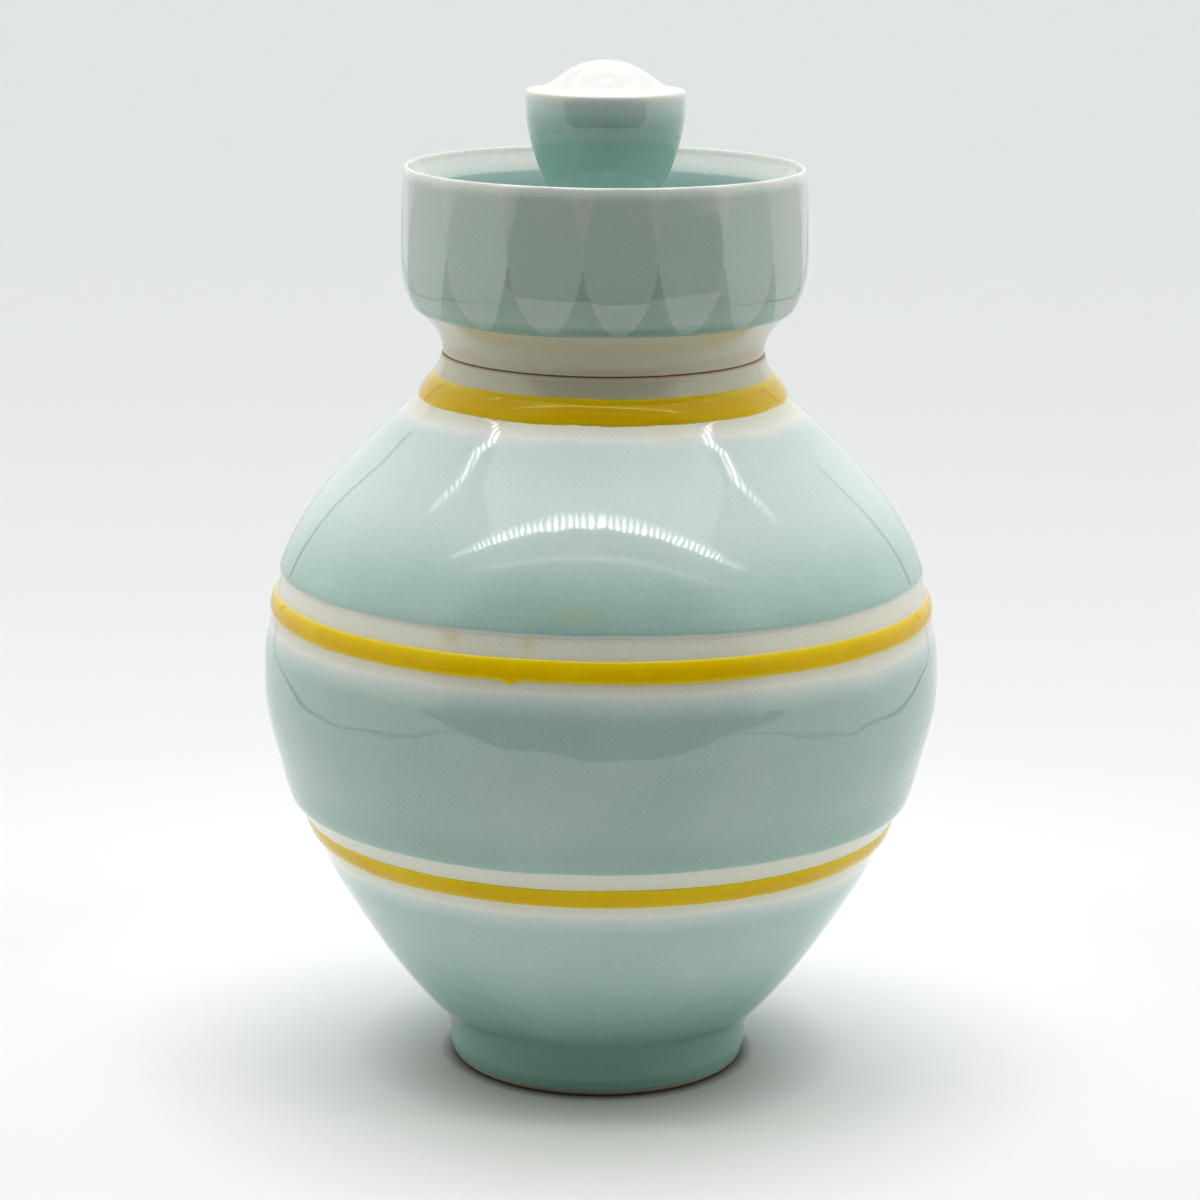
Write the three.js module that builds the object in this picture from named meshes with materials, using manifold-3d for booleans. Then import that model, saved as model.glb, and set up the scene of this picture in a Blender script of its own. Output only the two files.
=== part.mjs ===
import * as THREE from 'three';
import { mergeVertices } from 'three/addons/utils/BufferGeometryUtils.js';
import Module from 'manifold-3d';

// Lidded porcelain jar, in millimetres with +Z up: a thrown body on a turned foot, three raised
// rings of yellow glaze in shallow grooves, and a lift-off lid. The lid is an open cup on a drawn-in
// waist, its wall cut into flat petals, with a knob standing in the middle of its dish.
// The origin is the centre of the face that the foot ring rests on.

const wasm = await Module();
wasm.setup();

const degrees = THREE.MathUtils.degToRad;
const point = (radius, height) => new THREE.Vector2(radius, height);

// Foot ring, and the flare from it to the wall
const FOOT_RADIUS = 32.3;
const FOOT_HEIGHT = 6;
const FOOT_EDGE_ROUND = 1.4;
const FOOT_RING_WIDTH = 5;
const FOOT_RECESS = 4;
const FLARE_HEIGHT = 7.3;
const FLARE_REACH = 3.7;

// Body wall: two sweeps that meet upright at the belly
const BELLY_RADIUS = 73.3;
const BELLY_HEIGHT = 86.5;
const HIP_ANGLE = degrees(46);
const HIP_SWEEP = 20;
const LOWER_BELLY_SWEEP = 22;
const SHOULDER_RISE = 62;
const SHOULDER_ANGLE = degrees(46.5);
const SHOULDER_SWEEP = 23.8;
const UPPER_BELLY_SWEEP = 34.6;
const WALL = 3.8;
const BASE = 6;
const INNER_FLOOR_ROUND = 8;

// Neck and rim
const NECK_HEIGHT = 9.2;
const NECK_FLARE = 4.9;
const NECK_HOLLOW = 1.2;
const RIM_RADIUS = 34.8;
const RIM_WIDTH = 4.3;
const MOUTH_DEPTH = 3.7;
const EDGE_ROUND = 0.25;

// Bands: a bared strip of wall round each glaze ring, under the thick lip of the glaze above it
const BAND_RECESS = 0.25;
const HIP_RING_DROP = 31.5;
const HIP_RING_WIDTH = 3.5;
const HIP_BAND_BELOW = 5;
const HIP_BAND_ABOVE = 3.8;
const SHOULDER_RING_RISE = 18.1;
const SHOULDER_RING_WIDTH = 4.1;
const SHOULDER_BAND_BELOW = 6;
const SHOULDER_BAND_ABOVE = 4.6;
const NECK_RING_WIDTH = 5;
const HIP_GLAZE_LIP = 0.75;
const SHOULDER_GLAZE_LIP = 0.4;
const GLAZE_LIP_CREST = 1.8;
const GLAZE_LIP_LENGTH = 5;

// Glaze rings
const RING_PROUD = 0.5;
const GROOVE_DEPTH = 0.6;
const GROOVE_BANK = 0.2;
const GLAZE_BOND = 0.1;

// Lid cup and waist, measured up from the seat on the jar's rim
const SEAT_GAP = 0.2;
const WAIST_INSET = 0.3;
const WAIST_HEIGHT = 8.9;
const WAIST_FLARE = 5.1;
const WAIST_ANGLE = degrees(50);
const CUP_SWELL = 4.1;
const CUP_BELLY_HEIGHT = 21;
const CUP_HEIGHT = 39.8;
const LIP_DRAW = 0.8;
const LIP_THICKNESS = 1.4;
const LIP_CROWN = 0.3;
const LIP_BEVEL = 3.3;
const CUP_WALL = 4.1;
const DISH_FLOOR = 13.6;
const DISH_ROUND = 9;
const FLOOR_THICKNESS = 4.1;

// Flange under the lid, which keeps it in the jar's mouth
const MOUTH_CLEARANCE = 0.7;
const FLANGE_LENGTH = 10;
const FLANGE_WALL = 3;
const FLANGE_ROUND = 0.8;
const HOLLOW_ROUND = 5;

// Petals: flat cuts round the cup, spaced by eye, so they crowd a little on one side
const PETALS = 18;
const PETAL_CLEARANCE = 1.1;
const PETAL_RISE = 16.5;
const PETAL_STEPS = 5;
const PETAL_STEP_EASE = 1.5;
const PETAL_RIM_DEPTH = 0.33;
const PETAL_EASE = 1.2;
const PETAL_TURN = degrees(-11.1);
const PETAL_DRIFT = degrees(5.7);
const PETAL_DRIFT_TURN = degrees(70);
const CUT_MARGIN = 3;

// Knob, measured up from the dish floor
const KNOB_JOIN = 0.1;
const KNOB_FOOT_RADIUS = 9.5;
const KNOB_FOOT_EDGE = 0.8;
const KNOB_STEM_RADIUS = 7.6;
const KNOB_STEM_HEIGHT = 12.4;
const KNOB_STEM_FLARE = 2;
const KNOB_STEM_FLARE_RISE = 6;
const KNOB_BOWL_ANGLE = degrees(50);
const KNOB_BOWL_SWEEP = 3.5;
const KNOB_SIDE_SWEEP = 10;
const KNOB_RADIUS = 17;
const KNOB_BOWL_RISE = 21.6;
const KNOB_RIM_BAND = 2.3;
const KNOB_RIM_ROUND = 0.5;
const KNOB_CAP_RISE = 6.1;
const KNOB_CAP_HOLLOW = 5.7;
const KNOB_CAP_CROWN = 9;

// Flats round each turned piece
const JAR_FLATS = 52;
const CUP_FLATS = 5 * PETALS;
const DISH_FLATS = 56;
const HOLLOW_FLATS = 44;
const KNOB_FLATS = 32;

const neckRootHeight = BELLY_HEIGHT + SHOULDER_RISE;
const rimHeight = neckRootHeight + NECK_HEIGHT;
const mouthRadius = RIM_RADIUS - RIM_WIDTH;
const seatHeight = rimHeight + SEAT_GAP;

const celadonGlaze = () => new THREE.MeshStandardMaterial({ color: 0x9dc0b4, roughness: 0.15, metalness: 0 });
const yellowGlaze = () => new THREE.MeshStandardMaterial({ color: 0xe3bb14, roughness: 0.12, metalness: 0 });

// The point at a length from another, in a direction that leans outward from upright
function lean(from, angle, length) {
  return point(from.x + length * Math.sin(angle), from.y + length * Math.cos(angle));
}

// A bend that starts upright and ends leaning outward
function leanOut(start, end, angle) {
  const corner = point(start.x, end.y - (end.x - start.x) / Math.tan(angle));
  return new THREE.QuadraticBezierCurve(start, corner, end);
}

// The point of an upright outline at a height, moved out along the outline's normal
function onOutline(curves, height, proud = 0) {
  const curve = curves.find((piece) => height <= piece.getPoint(1).y) ?? curves.at(-1);
  let low = 0;
  let high = 1;
  for (let halving = 0; halving < 40; halving += 1) {
    const middle = (low + high) / 2;
    if (curve.getPoint(middle).y < height) {
      low = middle;
    } else {
      high = middle;
    }
  }
  const tangent = curve.getTangent(high);
  return curve.getPoint(high).addScaledVector(point(tangent.y, -tangent.x), proud);
}

// Points of an outline at even heights, both ends included
function stretch(curves, from, to, steps, proud = 0) {
  const points = [];
  for (let step = 0; step <= steps; step += 1) {
    points.push(onOutline(curves, THREE.MathUtils.lerp(from, to, step / steps), proud));
  }
  return points;
}

// A rounded corner between two points on its sides
function rounded(start, corner, end, steps = 2) {
  return new THREE.QuadraticBezierCurve(start, corner, end).getPoints(steps);
}

// A solid of revolution round +Z from a profile that runs anticlockwise in radius and height
function turned(profile, flats) {
  const geometry = new THREE.LatheGeometry(profile, flats);
  geometry.rotateX(Math.PI / 2);
  return geometry;
}

function piece(name, geometry, material) {
  const mesh = new THREE.Mesh(geometry, material);
  mesh.name = name;
  return mesh;
}

// Curves of the jar

const wallStart = point(FOOT_RADIUS + FLARE_REACH, FOOT_HEIGHT + FLARE_HEIGHT);
const belly = point(BELLY_RADIUS, BELLY_HEIGHT);
const neckRoot = point(RIM_RADIUS + NECK_FLARE, neckRootHeight);
const rimEdge = point(RIM_RADIUS, rimHeight - EDGE_ROUND);

const footFlare = leanOut(point(FOOT_RADIUS, FOOT_HEIGHT), wallStart, HIP_ANGLE);
const bodyWall = [
  new THREE.CubicBezierCurve(
    wallStart,
    lean(wallStart, HIP_ANGLE, HIP_SWEEP),
    point(BELLY_RADIUS, BELLY_HEIGHT - LOWER_BELLY_SWEEP),
    belly,
  ),
  new THREE.CubicBezierCurve(
    belly,
    point(BELLY_RADIUS, BELLY_HEIGHT + UPPER_BELLY_SWEEP),
    lean(neckRoot, -SHOULDER_ANGLE, -SHOULDER_SWEEP),
    neckRoot,
  ),
];
const neckMiddle = point(RIM_RADIUS + NECK_HOLLOW, neckRootHeight + NECK_HEIGHT / 2);
const neck = [new THREE.QuadraticBezierCurve(neckRoot, neckMiddle, rimEdge)];

// A glaze ring's seat: the two edges of its groove on the surface, and the two corners of its floor
function ringSeat(lower, upper) {
  const rise = upper.clone().sub(lower);
  const outward = point(rise.y, -rise.x).normalize();
  const floor = (share) => lower.clone().addScaledVector(rise, share).addScaledVector(outward, -GROOVE_DEPTH);
  return { lower, upper, outward, floor: [floor(GROOVE_BANK), floor(1 - GROOVE_BANK)] };
}

function seatOnWall(height, width) {
  const edge = (side) => onOutline(bodyWall, height + (side * width) / 2, -BAND_RECESS);
  return ringSeat(edge(-1), edge(1));
}

const hipRingHeight = BELLY_HEIGHT - HIP_RING_DROP;
const shoulderRingHeight = BELLY_HEIGHT + SHOULDER_RING_RISE;
const hipSeat = seatOnWall(hipRingHeight, HIP_RING_WIDTH);
const shoulderSeat = seatOnWall(shoulderRingHeight, SHOULDER_RING_WIDTH);
const neckSeat = ringSeat(neckRoot, onOutline(neck, neckRootHeight + NECK_RING_WIDTH));

const groove = (seat) => [seat.lower, ...seat.floor, seat.upper];

// A band from the fade under its groove to the crest of the glaze lip above it
function band(seat, bottom, top, lip) {
  return [
    onOutline(bodyWall, bottom),
    onOutline(bodyWall, (bottom + seat.lower.y) / 2, -BAND_RECESS),
    ...groove(seat),
    onOutline(bodyWall, top, -BAND_RECESS),
    onOutline(bodyWall, top + GLAZE_LIP_CREST / 2, lip - BAND_RECESS),
    onOutline(bodyWall, top + GLAZE_LIP_CREST, lip),
  ];
}

function footOutline() {
  const inner = FOOT_RADIUS - FOOT_RING_WIDTH;
  return [
    point(0, FOOT_RECESS),
    point(inner - FOOT_RECESS / 2, FOOT_RECESS),
    point(inner, FOOT_RECESS / 2),
    point(inner + FOOT_EDGE_ROUND / 2, 0),
    ...rounded(
      point(FOOT_RADIUS - FOOT_EDGE_ROUND, 0),
      point(FOOT_RADIUS, 0),
      point(FOOT_RADIUS, FOOT_EDGE_ROUND),
    ),
    ...footFlare.getPoints(3),
  ];
}

// The outside wall above the foot, band by band
function wallOutline() {
  const hipBottom = hipRingHeight - HIP_RING_WIDTH / 2 - HIP_BAND_BELOW;
  const hipTop = hipRingHeight + HIP_RING_WIDTH / 2 + HIP_BAND_ABOVE;
  const shoulderBottom = shoulderRingHeight - SHOULDER_RING_WIDTH / 2 - SHOULDER_BAND_BELOW;
  const shoulderTop = shoulderRingHeight + SHOULDER_RING_WIDTH / 2 + SHOULDER_BAND_ABOVE;
  return [
    ...stretch(bodyWall, wallStart.y, hipBottom, 4).slice(1, -1),
    ...band(hipSeat, hipBottom, hipTop, HIP_GLAZE_LIP),
    ...stretch(bodyWall, hipTop + GLAZE_LIP_LENGTH, shoulderBottom, 4).slice(0, -1),
    ...band(shoulderSeat, shoulderBottom, shoulderTop, SHOULDER_GLAZE_LIP),
    ...stretch(bodyWall, shoulderTop + GLAZE_LIP_LENGTH, neckRootHeight, 5).slice(0, -1),
  ];
}

function neckOutline() {
  return [
    ...groove(neckSeat),
    ...stretch(neck, neckSeat.upper.y, rimEdge.y, 2).slice(1),
    point(RIM_RADIUS - EDGE_ROUND, rimHeight),
    point(mouthRadius + EDGE_ROUND, rimHeight),
    point(mouthRadius, rimHeight - EDGE_ROUND),
  ];
}

// The inside, from the mouth down to the floor, one wall's thickness within the outside
function insideOutline() {
  const under = onOutline(bodyWall, neckRootHeight, -WALL);
  const low = onOutline(bodyWall, wallStart.y, -WALL);
  const floorHeight = FOOT_RECESS + BASE;
  const mouthFoot = point(mouthRadius, rimHeight - MOUTH_DEPTH);
  const mouthCorner = point(mouthRadius, under.y + (under.x - mouthRadius) / Math.tan(SHOULDER_ANGLE));
  const floorCorner = point(low.x - (low.y - floorHeight) * Math.tan(HIP_ANGLE), floorHeight);
  return [
    ...rounded(mouthFoot, mouthCorner, under),
    ...stretch(bodyWall, neckRootHeight, wallStart.y, 7, -WALL).slice(1, -1),
    ...rounded(low, floorCorner, point(floorCorner.x - INNER_FLOOR_ROUND, floorHeight)),
    point(0, floorHeight),
  ];
}

function jarBody() {
  const profile = [...footOutline(), ...wallOutline(), ...neckOutline(), ...insideOutline()];
  return piece('jar_body', turned(profile, JAR_FLATS), celadonGlaze());
}

// A glaze ring fills its groove and stands up in a bead, bonded a hair off the clay
function glazeRing(name, seat) {
  const crown = seat.lower.clone().lerp(seat.upper, 0.5).addScaledVector(seat.outward, 2 * RING_PROUD);
  const bead = rounded(seat.lower, crown, seat.upper, 3);
  const profile = [...bead, seat.floor[1], seat.floor[0], seat.lower];
  const bonded = profile.map((spot) => spot.clone().addScaledVector(seat.outward, GLAZE_BOND));
  return piece(name, turned(bonded, JAR_FLATS), yellowGlaze());
}

// Curves of the lid, from its seat up

const waistRadius = RIM_RADIUS - WAIST_INSET;
const waistTop = point(waistRadius + WAIST_FLARE, WAIST_HEIGHT);
const cupRadius = waistTop.x + CUP_SWELL;
const lipRadius = cupRadius - LIP_DRAW;
const cupBelly = point(cupRadius, CUP_BELLY_HEIGHT);
const cupFoot = point(cupRadius, waistTop.y + CUP_SWELL / Math.tan(WAIST_ANGLE));
const lipStart = point(lipRadius, CUP_HEIGHT - LIP_THICKNESS);
const barrelCorner = point(cupRadius, (CUP_BELLY_HEIGHT + lipStart.y) / 2);
const cupSide = [
  leanOut(point(waistRadius, EDGE_ROUND), waistTop, WAIST_ANGLE),
  new THREE.QuadraticBezierCurve(waistTop, cupFoot, cupBelly),
  new THREE.QuadraticBezierCurve(cupBelly, barrelCorner, lipStart),
];

// Heights at which the cup's wall and the cuts in it are both drawn, closest at the cuts' round feet
const petalFoot = WAIST_HEIGHT + PETAL_CLEARANCE;
const petalJoin = petalFoot + PETAL_RISE;
const petalHeights = [];
for (let step = 0; step <= PETAL_STEPS; step += 1) {
  petalHeights.push(petalFoot + PETAL_RISE * (step / PETAL_STEPS) ** PETAL_STEP_EASE);
}
petalHeights.push((petalJoin + lipStart.y) / 2, lipStart.y);

const lipRound = (LIP_THICKNESS - LIP_CROWN) / 2;
const flangeRadius = mouthRadius - MOUTH_CLEARANCE;

// The outside of the lid in one block, from the flange's end to the lip
function blockOutline() {
  return [
    point(0, -FLANGE_LENGTH),
    point(flangeRadius - FLANGE_ROUND, -FLANGE_LENGTH),
    point(flangeRadius, FLANGE_ROUND - FLANGE_LENGTH),
    point(flangeRadius, 0),
    point(waistRadius - EDGE_ROUND, 0),
    ...cupSide[0].getPoints(4),
    ...petalHeights.map((height) => onOutline(cupSide, height)),
    ...rounded(lipStart, point(lipRadius, CUP_HEIGHT), point(lipRadius - lipRound, CUP_HEIGHT)).slice(1),
    point(0, CUP_HEIGHT),
  ];
}

// The dish, turned out of the block from above, with a bevel that thins its wall to the lip
function dishOutline() {
  const innerLip = lipRadius - LIP_THICKNESS;
  const top = CUP_HEIGHT + CUT_MARGIN;
  const corner = point(cupRadius - CUP_WALL, DISH_FLOOR);
  const wallFoot = point(corner.x, DISH_FLOOR + DISH_ROUND);
  return [
    point(0, DISH_FLOOR),
    ...rounded(point(corner.x - DISH_ROUND, DISH_FLOOR), corner, wallFoot, 4),
    point(corner.x, lipStart.y - LIP_BEVEL),
    point(innerLip, lipStart.y),
    point(innerLip + lipRound, CUP_HEIGHT),
    point(innerLip + lipRound, top),
    point(0, top),
  ];
}

// The hollow under the dish, open through the flange
function hollowOutline() {
  const corner = point(flangeRadius - FLANGE_WALL, DISH_FLOOR - FLOOR_THICKNESS);
  const wallTop = point(corner.x, corner.y - HOLLOW_ROUND);
  const end = -FLANGE_LENGTH - CUT_MARGIN;
  return [
    point(0, end),
    point(corner.x, end),
    ...rounded(wallTop, corner, point(corner.x - HOLLOW_ROUND, corner.y)),
    point(0, corner.y),
  ];
}

// Where two neighbouring cuts meet, counted round the cup
function petalEdge(index) {
  const turn = (2 * Math.PI * index) / PETALS;
  return PETAL_TURN + turn + PETAL_DRIFT * Math.sin(turn + PETAL_DRIFT_TURN);
}

// How deep a cut goes at a height: from nothing at its round foot to all where neighbours meet
function petalDepth(height, full) {
  if (height < petalJoin) {
    const share = (height - petalFoot) / PETAL_RISE;
    return full * Math.sin((Math.PI / 2) * share) ** PETAL_EASE;
  }
  return THREE.MathUtils.mapLinear(height, petalJoin, lipStart.y, full, PETAL_RIM_DEPTH);
}

// What one cut takes away: a slab whose flat inner face spans from one edge of the petal to the other
function petalCutter(index) {
  const halfAngle = (petalEdge(index + 1) - petalEdge(index)) / 2;
  const full = onOutline(cupSide, petalJoin).x * (1 - Math.cos(halfAngle));
  const face = petalHeights.map((height) => {
    const surface = onOutline(cupSide, height);
    return point(surface.x - petalDepth(height, full), height);
  });
  const top = CUP_HEIGHT + CUT_MARGIN;
  const outside = cupRadius + CUT_MARGIN;
  const back = [point(face.at(-1).x, top), point(outside, top), point(outside, petalFoot)];
  const section = new THREE.Shape([...face, ...back]);
  const length = 2 * cupRadius * Math.sin(halfAngle) + CUT_MARGIN;
  const slab = new THREE.ExtrudeGeometry(section, { depth: length, bevelEnabled: false });
  slab.translate(0, 0, -length / 2);
  slab.rotateX(Math.PI / 2);
  slab.rotateZ(petalEdge(index) + halfAngle - Math.PI / 2);
  return slab;
}

function toSolid(geometry) {
  const bare = geometry.clone();
  bare.deleteAttribute('normal');
  bare.deleteAttribute('uv');
  const merged = mergeVertices(bare);
  const corners = merged.index.array;
  const kept = [];
  for (let start = 0; start < corners.length; start += 3) {
    const [a, b, c] = corners.slice(start, start + 3);
    if (a !== b && b !== c && c !== a) kept.push(a, b, c);
  }
  return new wasm.Manifold(new wasm.Mesh({
    numProp: 3,
    vertProperties: merged.attributes.position.array,
    triVerts: Uint32Array.from(kept),
  }));
}

function toGeometry(solid) {
  const mesh = solid.getMesh();
  const geometry = new THREE.BufferGeometry();
  geometry.setAttribute('position', new THREE.BufferAttribute(mesh.vertProperties, 3));
  geometry.setIndex(new THREE.BufferAttribute(mesh.triVerts, 1));
  geometry.computeVertexNormals();
  return geometry;
}

function lidCup() {
  const block = toSolid(turned(blockOutline(), CUP_FLATS));
  let cup = block
    .subtract(toSolid(turned(dishOutline(), DISH_FLATS)))
    .subtract(toSolid(turned(hollowOutline(), HOLLOW_FLATS)));
  for (let index = 0; index < PETALS; index += 1) {
    cup = cup.subtract(toSolid(petalCutter(index)));
  }
  return piece('lid_cup', toGeometry(cup), celadonGlaze());
}

// The knob: a small bowl on a stem, closed by a cap that sweeps up to a low crown
function lidKnob() {
  const stemFoot = point(KNOB_STEM_RADIUS, KNOB_FOOT_EDGE + KNOB_FOOT_RADIUS - KNOB_STEM_RADIUS);
  const stemTop = point(KNOB_STEM_RADIUS, KNOB_STEM_HEIGHT);
  const bowlStart = point(KNOB_STEM_RADIUS + KNOB_STEM_FLARE, KNOB_STEM_HEIGHT + KNOB_STEM_FLARE_RISE);
  const bowlTop = point(KNOB_RADIUS, bowlStart.y + KNOB_BOWL_RISE);
  const bowl = new THREE.CubicBezierCurve(
    bowlStart,
    lean(bowlStart, KNOB_BOWL_ANGLE, KNOB_BOWL_SWEEP),
    point(bowlTop.x, bowlTop.y - KNOB_SIDE_SWEEP),
    bowlTop,
  );
  const rim = point(KNOB_RADIUS - KNOB_RIM_ROUND, bowlTop.y + KNOB_RIM_BAND);
  const crown = rim.y + KNOB_CAP_RISE;
  const cap = new THREE.CubicBezierCurve(
    rim,
    point(rim.x - KNOB_CAP_HOLLOW, rim.y),
    point(KNOB_CAP_CROWN, crown),
    point(0, crown),
  );
  const profile = [
    point(0, KNOB_JOIN),
    point(KNOB_FOOT_RADIUS, KNOB_JOIN),
    ...rounded(point(KNOB_FOOT_RADIUS, KNOB_FOOT_EDGE), point(KNOB_STEM_RADIUS, KNOB_FOOT_EDGE), stemFoot),
    ...leanOut(stemTop, bowlStart, KNOB_BOWL_ANGLE).getPoints(2),
    ...bowl.getPoints(5).slice(1),
    point(KNOB_RADIUS, rim.y - KNOB_RIM_ROUND),
    ...cap.getPoints(5),
  ];
  return piece('lid_knob', turned(profile, KNOB_FLATS), celadonGlaze());
}

const jar = new THREE.Group();
jar.add(
  jarBody(),
  glazeRing('hip_glaze_ring', hipSeat),
  glazeRing('shoulder_glaze_ring', shoulderSeat),
  glazeRing('neck_glaze_ring', neckSeat),
);

const knob = lidKnob();
knob.position.z = DISH_FLOOR;
const lid = new THREE.Group();
lid.position.z = seatHeight;
lid.add(lidCup(), knob);

const liddedJar = new THREE.Group();
liddedJar.add(jar, lid);

export default liddedJar;
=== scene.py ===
import math

import bpy
import numpy as np
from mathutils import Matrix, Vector, noise


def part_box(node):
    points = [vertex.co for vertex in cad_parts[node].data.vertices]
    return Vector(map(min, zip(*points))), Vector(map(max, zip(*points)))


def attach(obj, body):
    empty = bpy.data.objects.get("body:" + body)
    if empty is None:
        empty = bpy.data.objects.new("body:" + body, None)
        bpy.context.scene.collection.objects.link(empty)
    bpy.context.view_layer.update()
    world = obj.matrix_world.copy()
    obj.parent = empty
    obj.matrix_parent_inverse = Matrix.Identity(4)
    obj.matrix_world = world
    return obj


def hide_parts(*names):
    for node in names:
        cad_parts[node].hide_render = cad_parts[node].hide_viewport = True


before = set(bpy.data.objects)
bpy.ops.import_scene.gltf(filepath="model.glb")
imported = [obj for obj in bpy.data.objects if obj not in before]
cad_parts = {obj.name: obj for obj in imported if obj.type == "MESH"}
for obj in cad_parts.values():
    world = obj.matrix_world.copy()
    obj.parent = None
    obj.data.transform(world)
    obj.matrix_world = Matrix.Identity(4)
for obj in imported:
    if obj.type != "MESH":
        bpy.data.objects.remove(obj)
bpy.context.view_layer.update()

# Lidded porcelain jar. The thrown clay is white; a pale celadon glaze covers it in three zones, and
# three trailed rings of yellow glaze stand up on the bare bands between them. The clay is turned
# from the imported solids' curves, and each glaze is laid over it as a real thickness.
# Lengths are in mm and turned to metres when a mesh is made. Azimuth 0 is the front, and it grows
# towards +X.

MM = 0.001


def top_of(node):
    """How far a node reaches from the axis, and how high."""
    return max(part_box(node)[1].x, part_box(node)[1].y) / MM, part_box(node)[1].z / MM


BELLY_RADIUS, RIM_HEIGHT = top_of("jar_body")
CUP_TOP = top_of("lid_cup")[1]
KNOB_RADIUS, KNOB_TOP = top_of("lid_knob")
KNOB_JOIN = 0.1
DISH_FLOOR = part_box("lid_knob")[0].z / MM - KNOB_JOIN

# Foot and flare
FOOT_RADIUS = 32.3
FOOT_HEIGHT = 6
FOOT_EDGE = 1.4
FOOT_RING_WIDTH = 5
FOOT_RECESS = 4
FLARE_HEIGHT = 7.3
FLARE_REACH = 3.7

# Wall
BELLY_HEIGHT = 86.5
HIP_ANGLE = math.radians(46)
HIP_SWEEP = 20
LOWER_BELLY_SWEEP = 22
SHOULDER_RISE = 62
SHOULDER_ANGLE = math.radians(46.5)
SHOULDER_SWEEP = 23.8
UPPER_BELLY_SWEEP = 34.6
WALL = 3.8
BASE = 6
FLOOR_ROUND = 8

# The wall as thrown by hand: broad swellings, and small dents that are deepest round the belly
SWELL_WIDTH = 21
SWELL_DEPTH = 0.08
DENT_WIDTH = 9
DENT_DEPTH = 0.02
BELLY_DENT_DEPTH = 0.075
BELLY_DENTS_START = (62, 78)
BELLY_DENTS_END = (94, 104)

# Neck and mouth
RIM_RADIUS = 34.8
RIM_WIDTH = 4.3
RIM_EDGE = 0.3
NECK_FLARE = 4.9
NECK_HOLLOW = 1.2
MOUTH_DEPTH = 3.7

# Lid, with heights above its seat
SEAT_GAP = 0.2
SEAT = RIM_HEIGHT + SEAT_GAP
WAIST_RADIUS = 34.5
WAIST_HEIGHT = 8.9
WAIST_FLARE = 5.1
WAIST_ANGLE = math.radians(50)
CUP_RADIUS = 43.7
CUP_BELLY = 21
CUP_HEIGHT = CUP_TOP - SEAT
CUP_WALL = 4.1
LIP_RADIUS = 42.9
LIP_THICKNESS = 1.4
LIP_ROUND = 0.35
LIP_BEVEL = 3.3
BEVEL_REACH = 0.5
BEVEL_BEND = (0.8, 1.7)
DISH_ROUND = 9
CEILING = 9.5
HOLLOW_ROUND = 5
FLANGE_RADIUS = 29.8
FLANGE_LENGTH = 10
FLANGE_WALL = 3
FLANGE_ROUND = 0.8

# Petals cut round the cup. Where a petal doesn't reach, its cut lies far out
PETALS = 18
PETAL_FOOT = 9.4
PETAL_RISE = 17
PETAL_RIM_DEPTH = 0.33
PETAL_TURN = math.radians(-11.1)
PETAL_DRIFT = math.radians(5.7)
PETAL_DRIFT_TURN = math.radians(70)
ARRIS_SOFTNESS = 0.02
ARRIS_WIDTH = 0.2
ARRIS_THINNING = 0.25
PETAL_CROWN = 0.4
FAR_OUT = 9

# Painted shade and light on the uncut wall, drawn as extra glaze: how much at the petals' feet to darken
# it, and at their tops, below 0, to make it paler
UNCUT_FOOT_SHADING = 0.26
UNCUT_TOP_SHADING = -0.1
UNCUT_TURN = (22, 30)

# Knob, with heights above the dish floor
KNOB_FOOT_RADIUS = 9.5
KNOB_STEM_RADIUS = 7.6
KNOB_FOOT_FILLET = 2.7
KNOB_STEM_TOP = 12.4
KNOB_STEM_FLARE = 2
KNOB_BOWL_START = 18.4
KNOB_BOWL_ANGLE = math.radians(50)
KNOB_BOWL_SWEEP = 3.5
KNOB_SIDE_TOP = 40
KNOB_SIDE_SWEEP = 10
KNOB_RIM = 42.3
KNOB_RIM_ROUND = 0.9
KNOB_CAP_HOLLOW = 5.7
KNOB_CAP_CROWN = 9
KNOB_HEIGHT = KNOB_TOP - DISH_FLOOR

# Celadon: how much room the clay leaves for it, how thick it lies on the lid and the lip, and how
# soon its rounded edge is full
GLAZE = 0.25
LID_GLAZE = 0.2
LIP_GLAZE = 0.05
GLAZE_NOSE = 1

# Where it starts above each bare band, and where it fades out below one
FOOT_GLAZE = 0.9
HIP_GLAZE = 60.9
SHOULDER_GLAZE = 110.9
HIP_FADE = (44.5, 51.2)
SHOULDER_FADE = (93.5, 101)
NECK_FADE = (142.5, 147.5)

# At the foot: between which heights it gets to its full thickness, and where the bare clay ends
FOOT_THICKENS = (FOOT_EDGE - 1, 4)
FOOT_BARE_END = (FOOT_GLAZE - 0.4, FOOT_GLAZE + 0.1)

# On the lid: where it starts over the waist, how it rolled there, and the depths under the lip where it
# thins out on the outside and where the dish's colour deepens
COLLAR_GLAZE = 8.9
COLLAR_NOSE = 0.9
COLLAR_ROLL = 0.16
COLLAR_ROLL_HEIGHT = 3
COLLAR_ROLL_COLOUR = 1.8
LIP_FADE = (0.4, 3)
DISH_GLAZE = 0.33
DISH_DEPTHS = (3, 9)
DISH_POOL = 0.2
DISH_POOL_REACH = 4

# Between which heights the clay is turned down to leave room for the glaze
BARED_FOOT = 3
BARED_NECK = 138

# In each zone: how thick it lies at the top, how much thicker it ran at the bottom, how far up that
# reaches, and how much deeper the colour is there
# At the foot the deeper colour near the table is partly painted shade, as well as glaze that ran thick
FOOT_ZONE = (0.4, 0.5, 38, 0.85)
BELLY_ZONE = (0.44, 0.7, 11, 0.14)
SHOULDER_ZONE = (0.19, 0.4, 21, 0.4)

# On the knob: how much glaze is added, and between which depths under its rim
KNOB_GLAZE = ((0.18, 0.9, 2.6), (0.42, 2.6, 7))

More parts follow.
